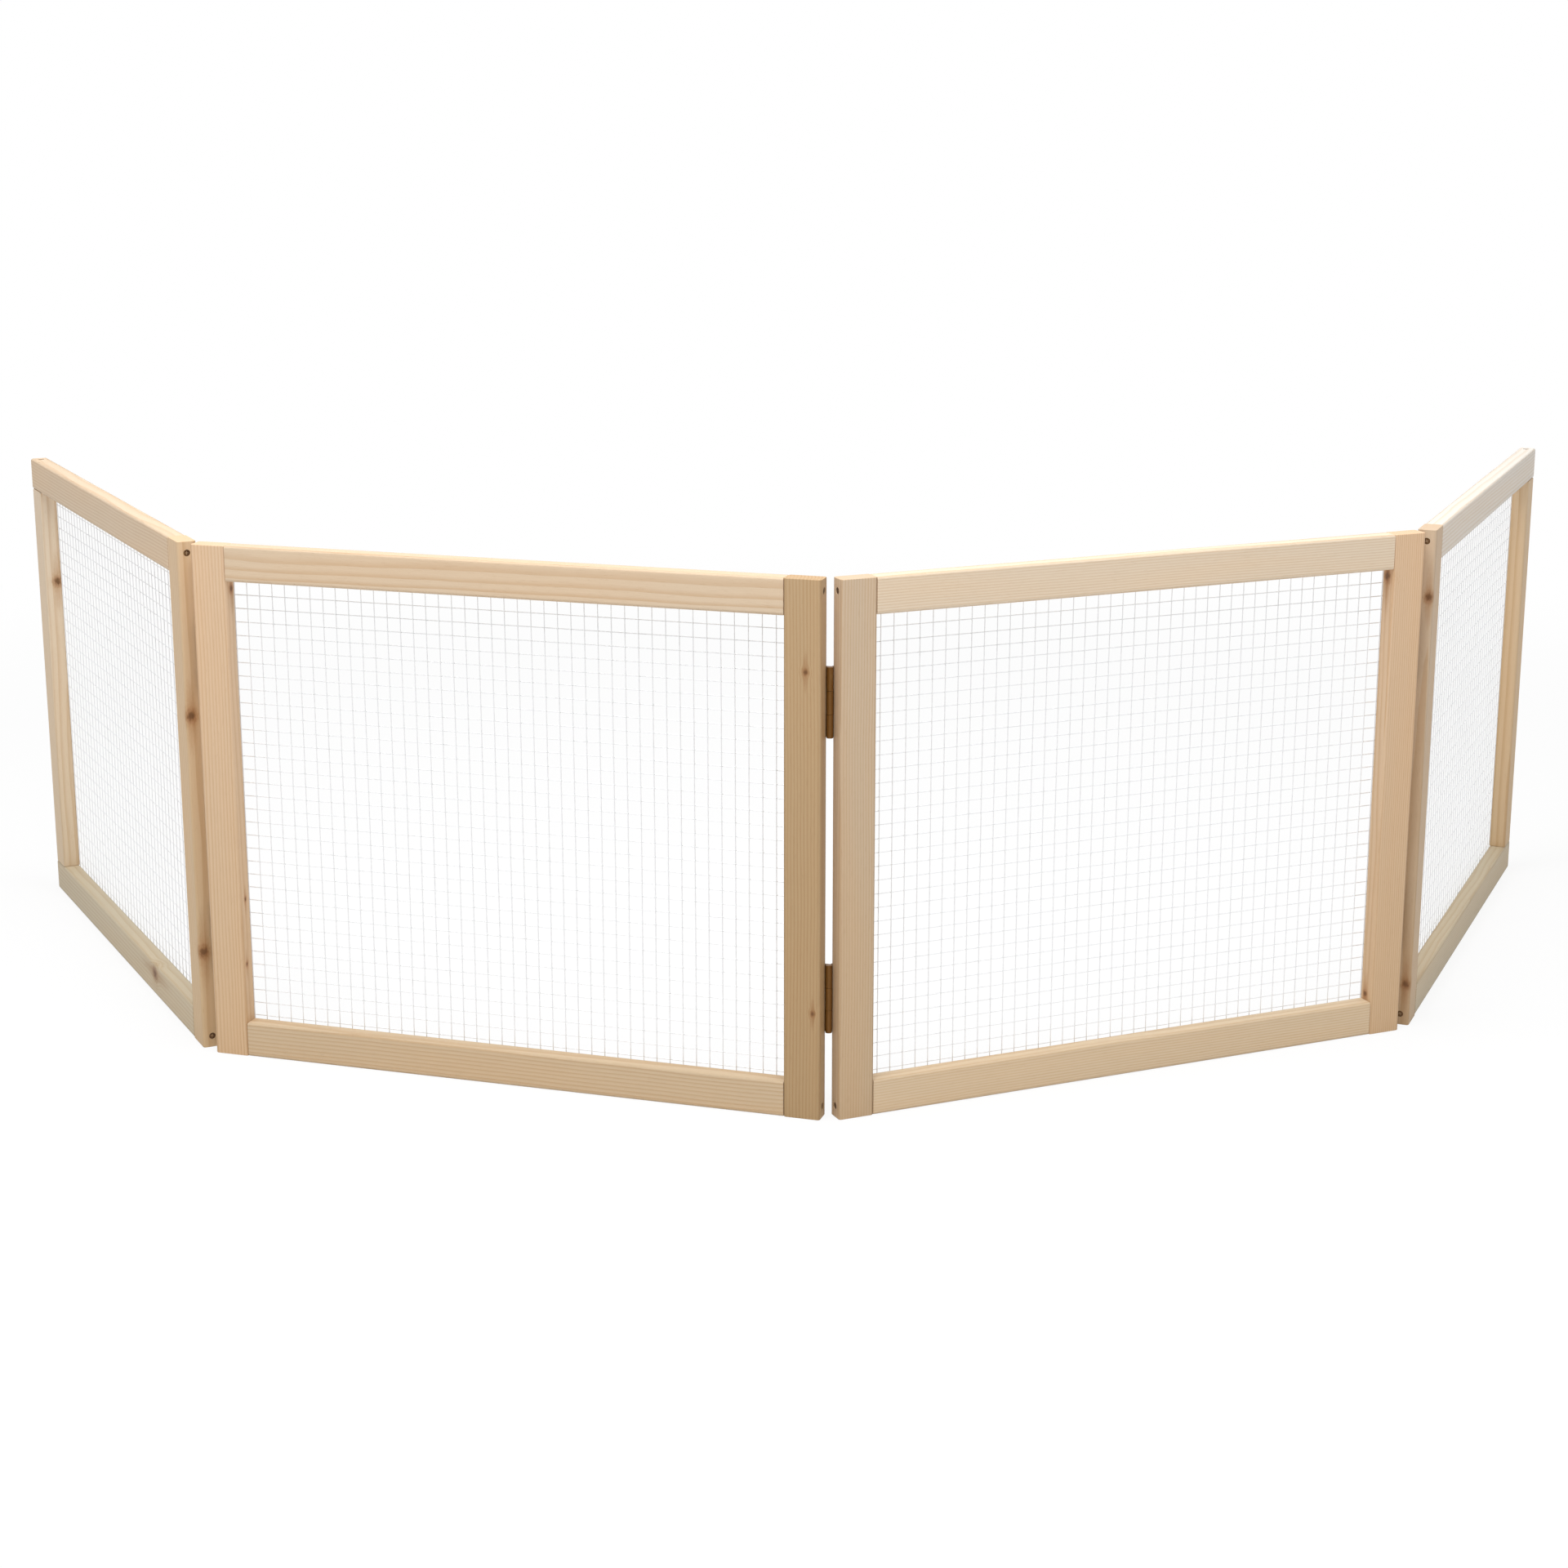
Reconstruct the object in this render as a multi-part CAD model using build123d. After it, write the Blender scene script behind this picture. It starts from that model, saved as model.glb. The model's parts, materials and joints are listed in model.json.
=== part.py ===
from build123d import *

import os
from math import floor

# A folding pen for small animals: four pine frames filled with welded wire mesh, standing in a shallow fan.
# Neighbouring frames are joined by two butt hinges on their inside faces, with the barrels in the gap.
# Every panel is drawn in its own axes, then stood in its place:
# X runs along the panel from its left end, Y from its outside face inwards, Z up from the ground.
# The pen's own axes have X to the right, Y towards its inside and Z up, on the ground at its middle.

# Frames
panel_width = 600.0
panel_height = 490.0
frame_thickness = 18.0
stile_width = 34.0
rail_height = 33.0
edge_radius = 2.5

# How far each joint is bent from a straight fence as the pen stands
left_bend = 46.0
centre_bend = 41.0
right_bend = 43.5

# Butt hinges
hinge_length = 63.0
hinge_end_distance = 110.0
knuckle_count = 3
knuckle_radius = 3.0
knuckle_gap = 0.3
barrel_clearance = 0.3
leaf_thickness = 1.2
leaf_reach = 19.0
pin_radius = 1.5
pin_clearance = 0.05

# Screws, countersunk, drawn without their threads and with a few flat sides in place of a round
screw_side_count = 8
countersink_angle = 45.0
screw_clearance = 0.05

# Hinge screws, three to a leaf
hinge_screw_length = 12.0
hinge_screw_radius = 1.5
hinge_screw_head_radius = 3.0
hinge_screw_end_margin = 10.0
hinge_screw_outer_row = 13.8
hinge_screw_inner_row = 9.0

# Corner screws, one through each corner of a frame, sunk just below the wood
corner_screw_length = 60.0
corner_screw_radius = 2.0
corner_screw_head_radius = 4.0
corner_screw_inset = 11.0
corner_screw_sink = 0.6

# Welded mesh, upright wires against the frame and cross wires on them
mesh_pitch = 12.7
wire_size = 0.9
wire_overhang = 1.5
mesh_margin = 0.5

# Staples that hold the mesh
staple_width = 7.0
staple_wire = 0.9
staple_depth = 5.0
staple_spacing_on_rail = 140.0
staple_spacing_on_stile = 120.0
staples_per_side = 4

# Sizes that follow from those above
opening_width = panel_width - 2 * stile_width
opening_height = panel_height - 2 * rail_height
frame_gap = 2 * (knuckle_radius + barrel_clearance)
pivot_depth = frame_thickness - (knuckle_radius - leaf_thickness)
leaf_start = knuckle_radius + barrel_clearance
leaf_cover = leaf_reach - frame_gap / 2
mesh_lap = stile_width - leaf_cover - max(wire_overhang, staple_width / 2) - mesh_margin


def stile(length):
    """An upright planed length of pine with rounded long edges, its corner on the origin."""
    section = RectangleRounded(stile_width, frame_thickness, edge_radius)
    return extrude(Pos(stile_width / 2, frame_thickness / 2) * section, length)


def rail(length):
    """A level planed length of pine with rounded long edges, its corner on the origin."""
    section = RectangleRounded(frame_thickness, rail_height, edge_radius)
    return extrude(Plane.YZ * Pos(frame_thickness / 2, rail_height / 2) * section, length)


def screw_section(radius):
    """A screw's flat-sided section, its radius measured to the flats."""
    return RegularPolygon(radius, screw_side_count, major_radius=False)


def countersunk_screw(length, radius, head_radius, clearance=0.0):
    """A countersunk screw, or with a clearance its hole: head face on the origin, pointing down Z."""
    head_depth = head_radius - radius
    head = extrude(screw_section(head_radius + clearance), head_depth, taper=countersink_angle)
    shank = extrude(screw_section(radius + clearance), length + clearance - head_depth)
    return Rot(180, 0, 0) * (head + Pos(0, 0, head_depth) * shank)


def corner_screw():
    return countersunk_screw(corner_screw_length, corner_screw_radius, corner_screw_head_radius)


def corner_screw_well():
    """The short well above a corner screw's sunk head."""
    return extrude(screw_section(corner_screw_head_radius + screw_clearance), corner_screw_sink)


def hinge_screw(clearance=0.0):
    return countersunk_screw(hinge_screw_length, hinge_screw_radius, hinge_screw_head_radius, clearance)


def hinge_leaf(own_knuckles):
    """One leaf of a butt hinge: pin axis on Z, plate along X, rolled knuckles flush with its outer face."""
    plate_base = knuckle_radius - leaf_thickness
    leaf = Pos(leaf_start, plate_base, 0) * Box(
        leaf_reach - leaf_start, leaf_thickness, hinge_length, align=(Align.MIN, Align.MIN, Align.MIN)
    )
    wrap = Pos(0, plate_base) * Rectangle(leaf_start, leaf_thickness, align=(Align.MIN, Align.MIN))
    roll = Circle(knuckle_radius) + wrap - Circle(pin_radius + pin_clearance)
    pitch = hinge_length / knuckle_count
    for index in own_knuckles:
        bottom = index * pitch + (knuckle_gap / 2 if index > 0 else 0)
        top = (index + 1) * pitch - (knuckle_gap / 2 if index < knuckle_count - 1 else 0)
        leaf += Pos(0, 0, bottom) * extrude(roll, top - bottom)
    for place in leaf_screw_places():
        leaf -= place * hinge_screw(screw_clearance)
    return leaf


def leaf_screw_places():
    """Where a leaf's three screws go, the middle one nearer the pin, heads flush with the plate."""
    heights = (hinge_screw_end_margin, hinge_length / 2, hinge_length - hinge_screw_end_margin)
    rows = (hinge_screw_outer_row, hinge_screw_inner_row, hinge_screw_outer_row)
    return [Pos(row, knuckle_radius, height) * Rot(-90, 0, 0) for row, height in zip(rows, heights)]


def hinge_pin():
    """The pin through all the knuckles, its ends flush with the barrel's."""
    return Cylinder(pin_radius, hinge_length, align=(Align.CENTER, Align.CENTER, Align.MIN))


def hinge_heights():
    """The lower ends of a joint's two hinges."""
    return {
        "lower": hinge_end_distance - hinge_length / 2,
        "upper": panel_height - hinge_end_distance - hinge_length / 2,
    }


def pivot(side):
    """The hinge axis at one end of a panel."""
    return Pos(-frame_gap / 2 if side == "left" else panel_width + frame_gap / 2, pivot_depth, 0)


def on_side(side, shape):
    """A hinge piece drawn for a panel's left end, turned over for its right end when it belongs there."""
    return shape if side == "left" else mirror(shape, about=Plane.YZ)


def wires_across(opening):
    """Wire centres along one direction, from the middle of an opening, at the mesh's pitch."""
    count = floor((opening + 2 * mesh_lap) / mesh_pitch) + 1
    return [(index - (count - 1) / 2) * mesh_pitch for index in range(count)]


def mesh_wires():
    """The upright and the cross wires of one panel's mesh, square and straight, touching where they cross."""
    uprights = [panel_width / 2 + offset for offset in wires_across(opening_width)]
    crosses = [panel_height / 2 + offset for offset in wires_across(opening_height)]
    upright_length = crosses[-1] - crosses[0] + wire_size + 2 * wire_overhang
    cross_length = uprights[-1] - uprights[0] + wire_size + 2 * wire_overhang
    upright_depth = frame_thickness + wire_size / 2
    cross_depth = frame_thickness + wire_size * 3 / 2
    upright_wires = [
        Pos(x, upright_depth, panel_height / 2) * Box(wire_size, wire_size, upright_length) for x in uprights
    ]
    cross_wires = [
        Pos(panel_width / 2, cross_depth, z) * Box(cross_length, wire_size, wire_size) for z in crosses
    ]
    return uprights, crosses, Compound(upright_wires), Compound(cross_wires)


def staple():
    """A square-wire staple over an upright wire: wood surface on Y = 0, crown along X, legs into the wood."""
    crown_top = wire_size + staple_wire
    crown = Pos(0, wire_size + staple_wire / 2, 0) * Box(staple_width, staple_wire, staple_wire)
    leg = Pos(0, -(crown_top + staple_depth) / 2, 0) * Box(staple_wire, crown_top + staple_depth, staple_wire)
    reach = (staple_width - staple_wire) / 2
    return crown + Pos(-reach, crown_top, 0) * leg + Pos(reach, crown_top, 0) * leg


def nearest(targets, places):
    return [min(places, key=lambda place: abs(place - target)) for target in targets]


def mesh_staples(uprights, crosses):
    """Staples along both rails and both stiles, each over an upright wire and between two cross wires."""
    steps = [index - (staples_per_side - 1) / 2 for index in range(staples_per_side)]
    along_rail = nearest([panel_width / 2 + step * staple_spacing_on_rail for step in steps], uprights)
    between = [(low + high) / 2 for low, high in zip(crosses, crosses[1:])]
    along_stile = nearest([panel_height / 2 + step * staple_spacing_on_stile for step in steps], between)
    spots = [(x, z) for x in along_rail for z in (between[0], between[-1])]
    spots += [(x, z) for x in (uprights[0], uprights[-1]) for z in along_stile]
    return Compound([Pos(x, frame_thickness, z) * staple() for x, z in spots])


def corner_screw_places(free_side):
    """Where the heads of a panel's corner screws go.

    At a hinged end the stile runs full height, and the screws go in through its edge.
    At a free end the rails run over the stile, and the screws go in through the rails."""
    places = []
    for side, end, inwards in (("left", 0, 1), ("right", panel_width, -1)):
        for foot, upwards in ((0, 1), (panel_height, -1)):
            if side == free_side:
                across, up = corner_screw_inset, corner_screw_sink
                turn = Rot(0, 90 + 90 * upwards, 0)
            else:
                across, up = corner_screw_sink, corner_screw_inset
                turn = Rot(0, -90 * inwards, 0)
            places.append(Pos(end + inwards * across, frame_thickness / 2, foot + upwards * up) * turn)
    return places


def frame_members(free_side, screw_places):
    """The two stiles and two rails of one panel, with a well for each corner screw's head."""
    rail_start = 0 if free_side == "left" else stile_width
    rail_end = panel_width if free_side == "right" else panel_width - stile_width
    members = {}
    for side, start in (("left", 0), ("right", panel_width - stile_width)):
        between_rails = side == free_side
        foot = rail_height if between_rails else 0
        members[side] = Pos(start, 0, foot) * stile(opening_height if between_rails else panel_height)
    for level, height in (("bottom", 0), ("top", panel_height - rail_height)):
        members[level] = Pos(rail_start, 0, height) * rail(rail_end - rail_start)
    for name in members:
        for place in screw_places:
            members[name] -= place * corner_screw_well()
    return members


# Each panel's free side, what its stiles are called, and the leaf at each hinged side by the knuckles it owns
outer_knuckles = range(0, knuckle_count, 2)
inner_knuckles = range(1, knuckle_count, 2)
panels = {
    "left_end": {
        "free_side": "left",
        "stiles": {"left": "free_stile", "right": "hinge_stile"},
        "hinges": {"right": ("left_joint", inner_knuckles)},
    },
    "left_centre": {
        "free_side": None,
        "stiles": {"left": "outer_stile", "right": "inner_stile"},
        "hinges": {"left": ("left_joint", outer_knuckles), "right": ("centre_joint", outer_knuckles)},
    },
    "right_centre": {
        "free_side": None,
        "stiles": {"left": "inner_stile", "right": "outer_stile"},
        "hinges": {"left": ("centre_joint", inner_knuckles), "right": ("right_joint", outer_knuckles)},
    },
    "right_end": {
        "free_side": "right",
        "stiles": {"left": "hinge_stile", "right": "free_stile"},
        "hinges": {"left": ("right_joint", inner_knuckles)},
    },
}


def build_panel(name, plan):
    """Every piece of one panel in the panel's own axes, by the name of its node."""
    pieces = {}
    hinge_screw_places = []
    for side, (joint, knuckles) in plan["hinges"].items():
        for level, bottom in hinge_heights().items():
            at = pivot(side) * Pos(0, 0, bottom)
            wide = knuckles is outer_knuckles
            kind = "outer_knuckle_leaf" if wide else "inner_knuckle_leaf"
            pieces[f"{joint}_{level}_{kind}"] = at * on_side(side, hinge_leaf(knuckles))
            if wide:
                pieces[f"{joint}_{level}_hinge_pin"] = at * hinge_pin()
            flip = 1 if side == "left" else -1
            for place in leaf_screw_places():
                spot = place.position
                hinge_screw_places.append(at * Pos(flip * spot.X, spot.Y, spot.Z) * Rot(-90, 0, 0))
    screw_places = corner_screw_places(plan["free_side"])
    members = frame_members(plan["free_side"], screw_places)
    for side, title in plan["stiles"].items():
        pieces[f"{name}_{title}"] = members[side]
    pieces[f"{name}_top_rail"] = members["top"]
    pieces[f"{name}_bottom_rail"] = members["bottom"]
    uprights, crosses, upright_wires, cross_wires = mesh_wires()
    pieces[f"{name}_mesh_upright_wires"] = upright_wires
    pieces[f"{name}_mesh_cross_wires"] = cross_wires
    pieces[f"{name}_mesh_staples"] = mesh_staples(uprights, crosses)
    pieces[f"{name}_corner_screws"] = Compound([place * corner_screw() for place in screw_places])
    pieces[f"{name}_hinge_screws"] = Compound([place * hinge_screw() for place in hinge_screw_places])
    return pieces


def stand(pivot_at, turn, side):
    """The place of a panel that hangs by one side on a pivot and is turned about it."""
    return pivot_at * Rot(0, 0, turn) * pivot(side).inverse()


# The pivots and panels, from the centre joint outwards
turn_of_centre = centre_bend / 2
centre_pivot = Location()
places = {
    "left_centre": stand(centre_pivot, -turn_of_centre, "right"),
    "right_centre": stand(centre_pivot, turn_of_centre, "left"),
}
left_pivot = Pos((places["left_centre"] * pivot("left")).position)
right_pivot = Pos((places["right_centre"] * pivot("right")).position)
places["left_end"] = stand(left_pivot, -turn_of_centre - left_bend, "right")
places["right_end"] = stand(right_pivot, turn_of_centre + right_bend, "left")

standing = {
    name: {node: places[name] * piece for node, piece in build_panel(name, plan).items()}
    for name, plan in panels.items()
}

# The origin goes to the middle of the pen's footprint, on the ground
footprint = Compound([piece for pieces in standing.values() for piece in pieces.values()]).bounding_box()
middle = Pos(-footprint.center().X, -footprint.center().Y, 0)

os.makedirs("parts", exist_ok=True)
for pieces in standing.values():
    for node, piece in pieces.items():
        export_step(middle * piece, f"parts/{node}.step")
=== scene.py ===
import json
from math import atan2, cos, floor, pi, radians, sin
from random import Random

import bmesh
import bpy
from bpy.props import FloatProperty, FloatVectorProperty, IntProperty, PointerProperty
from mathutils import Euler, Matrix, Vector


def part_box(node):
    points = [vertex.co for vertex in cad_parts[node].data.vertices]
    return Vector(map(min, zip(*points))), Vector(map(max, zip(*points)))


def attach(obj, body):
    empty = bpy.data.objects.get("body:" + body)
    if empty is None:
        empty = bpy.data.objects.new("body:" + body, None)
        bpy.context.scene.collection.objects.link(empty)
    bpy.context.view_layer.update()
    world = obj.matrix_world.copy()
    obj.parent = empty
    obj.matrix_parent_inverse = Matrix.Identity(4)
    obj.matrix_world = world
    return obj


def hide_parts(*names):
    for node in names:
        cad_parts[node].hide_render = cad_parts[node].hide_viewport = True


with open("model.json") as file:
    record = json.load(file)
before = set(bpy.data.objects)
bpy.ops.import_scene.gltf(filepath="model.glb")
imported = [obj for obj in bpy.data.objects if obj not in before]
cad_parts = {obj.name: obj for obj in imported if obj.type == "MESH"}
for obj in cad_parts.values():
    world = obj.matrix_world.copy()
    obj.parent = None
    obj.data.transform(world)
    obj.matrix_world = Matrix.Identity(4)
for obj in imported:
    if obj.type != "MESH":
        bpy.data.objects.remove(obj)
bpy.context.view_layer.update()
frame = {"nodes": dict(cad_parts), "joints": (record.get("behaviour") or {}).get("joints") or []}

bl_info = {
    "name": "Folding Pen for Small Animals",
    "version": (1, 0, 0),
    "blender": (4, 5, 0),
    "location": "View3D > Sidebar > Pen",
    "description": "Dresses the packed folding pen in planed pine, welded mesh, bronzed hinges and screws",
    "category": "Add Mesh",
}

# All lengths are metres. A panel has its own axes: X along it from its left end, Y from its outside face
# inwards, Z up from the ground. A board has X along its grain, Y across its width and Z through it.

PANEL_WIDTH = 0.600
PANEL_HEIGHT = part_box("left_centre_inner_stile")[1].z
FRAME_THICKNESS = 0.018
STILE_WIDTH = 0.034
RAIL_HEIGHT = 0.033
OPENING_WIDTH = PANEL_WIDTH - 2 * STILE_WIDTH
OPENING_HEIGHT = PANEL_HEIGHT - 2 * RAIL_HEIGHT

# Hinges
KNUCKLE_RADIUS = 0.003
LEAF_THICKNESS = 0.0012
LEAF_REACH = 0.019
HINGE_LENGTH = 0.063
HINGE_END_DISTANCE = 0.110
PIVOT_DEPTH = FRAME_THICKNESS - (KNUCKLE_RADIUS - LEAF_THICKNESS)
HINGE_SCREW_ROWS = (0.0138, 0.009, 0.0138)
HINGE_SCREW_HEIGHTS = (0.010, HINGE_LENGTH / 2, HINGE_LENGTH - 0.010)

# Corner screws, their heads in wells sunk into the boards' edges
CORNER_SCREW_INSET = 0.011
CORNER_SCREW_SINK = 0.0006
WELL_DEPTH = 0.0011
WELL_SIDES = 32

# Details of every screw
SCREW_SIDES = 28
RIM_EASING = 0.0002
RIM_DEPTH = 0.0003
HEAD_DISH = 0.00002
TIP_RADIUS = 0.0002
SAME_POINT = 0.000001

# Welded mesh and its staples
MESH_PITCH = 0.0127
WIRE_SIZE = 0.0009
WIRE_OVERHANG = 0.0015
MESH_MARGIN = 0.0005
STAPLE_WIDTH = 0.007
STAPLE_DEPTH = 0.005
STAPLE_SHOULDER = 0.0008
STAPLE_SHOULDER_POINTS = 5
STAPLE_SPACING_ON_RAIL = 0.140
STAPLE_SPACING_ON_STILE = 0.120
STAPLES_PER_SIDE = 4
STAPLE_LEAN_DEGREES = 4.0

# Waves in a sheet of mesh: their depth as a share of its bow, and how many half waves cross it
SHEET_WAVE = 0.35
WAVES_ALONG = 5.0
WAVES_UP = 3.0

# What differs from one panel or board to the next: seeds, and the ranges that values are drawn from
BOARD_SEED = 11
SHEET_SEED = 5
STAPLE_SEED = 3
SCREW_SEED = 8
BOW_SPREAD = (0.6, 1.3)
RING_SPREAD = (0.75, 1.35)
PITH_ACROSS = (0.02, 0.09)
PITH_THROUGH = (0.01, 0.05)
GRAIN_SHIFT = (-9.0, 9.0)

# A joint folds inwards to a right angle, so its range says how far it is bent as the pen stands
RIGHT_ANGLE = 90.0
joints = {joint["name"]: joint for joint in frame["joints"]}
pivots = {name: Vector((*joint["pos_m"][:2], 0.0)) for name, joint in joints.items()}
bends = {name: radians(RIGHT_ANGLE - joint["range_deg"][1]) for name, joint in joints.items()}
left_run = pivots["centre_fold"] - pivots["left_fold"]
right_run = pivots["right_fold"] - pivots["centre_fold"]
left_turn = atan2(left_run.y, left_run.x)
right_turn = atan2(right_run.y, right_run.x)
FRAME_GAP = left_run.length - PANEL_WIDTH
LEFT_PIVOT = Vector((-FRAME_GAP / 2, PIVOT_DEPTH, 0.0))
RIGHT_PIVOT = Vector((PANEL_WIDTH + FRAME_GAP / 2, PIVOT_DEPTH, 0.0))


def hung(pivot, turn, corner):
    """The place of a panel whose point `corner` is on a pivot, turned about it."""
    return Matrix.Translation(pivot) @ Matrix.Rotation(turn, 4, "Z") @ Matrix.Translation(-corner)


panel_places = {
    "left_end": hung(pivots["left_fold"], left_turn - bends["left_fold"], RIGHT_PIVOT),
    "left_centre": hung(pivots["left_fold"], left_turn, LEFT_PIVOT),
    "right_centre": hung(pivots["right_fold"], right_turn, RIGHT_PIVOT),
    "right_end": hung(pivots["right_fold"], right_turn + bends["right_fold"], LEFT_PIVOT),
}
FREE_SIDES = {"left_end": "left", "left_centre": None, "right_centre": None, "right_end": "right"}
STILE_TITLES = {
    "left_end": {"left": "free_stile", "right": "hinge_stile"},
    "left_centre": {"left": "outer_stile", "right": "inner_stile"},
    "right_centre": {"left": "inner_stile", "right": "outer_stile"},
    "right_end": {"left": "hinge_stile", "right": "free_stile"},
}

# Tones of planed pine
HONEY = (0.70, 0.51, 0.34)
TAN = (0.49, 0.34, 0.19)
SAND = (0.60, 0.46, 0.32)
STRAW = (0.67, 0.50, 0.32)
CREAM = (0.74, 0.61, 0.46)
BISCUIT = (0.66, 0.52, 0.37)
ASH = (0.62, 0.55, 0.43)
SILVERED = (0.74, 0.69, 0.62)

BOARD_TONES = {
    "left_end_free_stile": CREAM,
    "left_end_hinge_stile": STRAW,
    "left_end_top_rail": BISCUIT,
    "left_end_bottom_rail": ASH,
    "left_centre_outer_stile": HONEY,
    "left_centre_inner_stile": TAN,
    "left_centre_top_rail": BISCUIT,
    "left_centre_bottom_rail": BISCUIT,
    "right_centre_inner_stile": SAND,
    "right_centre_outer_stile": HONEY,
    "right_centre_top_rail": CREAM,
    "right_centre_bottom_rail": CREAM,
    "right_end_free_stile": STRAW,
    "right_end_hinge_stile": SAND,
    "right_end_top_rail": SILVERED,
    "right_end_bottom_rail": ASH,
}

# Knots of each board, and dark spots drawn as knots in some corners of the openings, next to the rails: place
# along, across and through it, and radius
EDGE = STILE_WIDTH / 2
FACE = FRAME_THICKNESS / 2
KNOTS = {
    "left_end_hinge_stile": ((0.081, EDGE, -0.004, 0.0045), (-0.149, EDGE, -0.004, 0.0048)),
    "right_end_hinge_stile": ((0.181, -EDGE, -0.005, 0.0038), (-0.203, -EDGE, -0.004, 0.0036)),
    "left_end_free_stile": ((0.113, EDGE, 0.004, 0.0042),),
    "left_end_bottom_rail": ((0.142, 0.0065, FACE, 0.0064),),
    "left_centre_outer_stile": (
        (-0.092, EDGE, 0.000, 0.0019),
        (-0.155, EDGE, -0.003, 0.0019),
        # A dark spot drawn as a knot on the stile's inner face, just below the top rail in a corner of the
        # opening.
        (0.204, EDGE, 0.002, 0.0030),
    ),
    "left_centre_inner_stile": ((0.164, 0.003, -FACE, 0.0022), (-0.145, 0.010, -FACE, 0.0019)),
    # Dark spots drawn as knots on the stile's inner face, just inside the opening's top and bottom corners,
    # next to the rails.
    "right_centre_outer_stile": ((0.205, -EDGE, 0.001, 0.0046), (-0.206, -EDGE, 0.001, 0.0028)),
}
KNOT_LAYERS = ("first_knot", "second_knot", "third_knot")

# A knot of no size, a metre off, stands in where a board has fewer than three
NO_KNOT = (0.0, 1.0, 1.0, 0.0)
SMALLEST_KNOT = 0.00001

# What each mark in the pine does to the tone of the board round it
WARM_PATCH = (1.07, 0.97, 0.86)
FIBRE = (0.86, 0.80, 0.72)
RESIN_FLECK = (0.72, 0.60, 0.46)
KNOT_SURROUND = (0.80, 0.62, 0.42)
KNOT_STREAK = (0.66, 0.46, 0.30)
KNOT_HALO = (0.55, 0.34, 0.18)

# What patches of the metals' finishes do to their colour
ZINC_CLOUD = (0.84, 0.85, 0.87)
ZINC_RUN = (0.78, 0.78, 0.77)
BRONZE_MOTTLE = (0.62, 0.55, 0.48)

# Roughness of each finish where it's cleanest
WIRE_ROUGHNESS = 0.30
STAPLE_ROUGHNESS = 0.34
LEAF_ROUGHNESS = 0.34
PIN_ROUGHNESS = 0.28
SCREW_ROUGHNESS = 0.48

# The stage
WHITE = (1.0, 1.0, 1.0)
FLOOR_TONES = ((0.80, 0.80, 0.80), (0.82, 0.82, 0.82))
SENSOR_WIDTH_MM = 36.0


class Signal:
    """A shader socket that takes part in Python sums, with a Math node for each step."""

    def __init__(self, socket):
        self.socket = socket

    def step(self, operation, *values):
        node = self.socket.id_data.nodes.new("ShaderNodeMath")
        node.operation = operation
        for place, value in zip(node.inputs, values):
            connect(place, value)
        return Signal(node.outputs[0])

    def __add__(self, other):
        return self.step("ADD", self, other)

    def __sub__(self, other):
        return self.step("SUBTRACT", self, other)

    def __rsub__(self, other):
        return self.step("SUBTRACT", other, self)

    def __mul__(self, other):
        return self.step("MULTIPLY", self, other)

    def __truediv__(self, other):
        return self.step("DIVIDE", self, other)

    def __rtruediv__(self, other):
        return self.step("DIVIDE", other, self)

    def __pow__(self, other):
        return self.step("POWER", self, other)

    def __rpow__(self, other):
        return self.step("POWER", other, self)

    __radd__ = __add__
    __rmul__ = __mul__

    def fraction(self):
        return self.step("FRACT", self)

    def largest(self, other):
        return self.step("MAXIMUM", self, other)


def connect(socket, value):
    """Links a signal to a socket, or sets the socket's own value, where a colour has an alpha too."""
    if isinstance(value, Signal):
        socket.id_data.links.new(value.socket, socket)
    elif socket.type == "RGBA":
        socket.default_value = (*value, 1.0)
    else:
        socket.default_value = value


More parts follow.
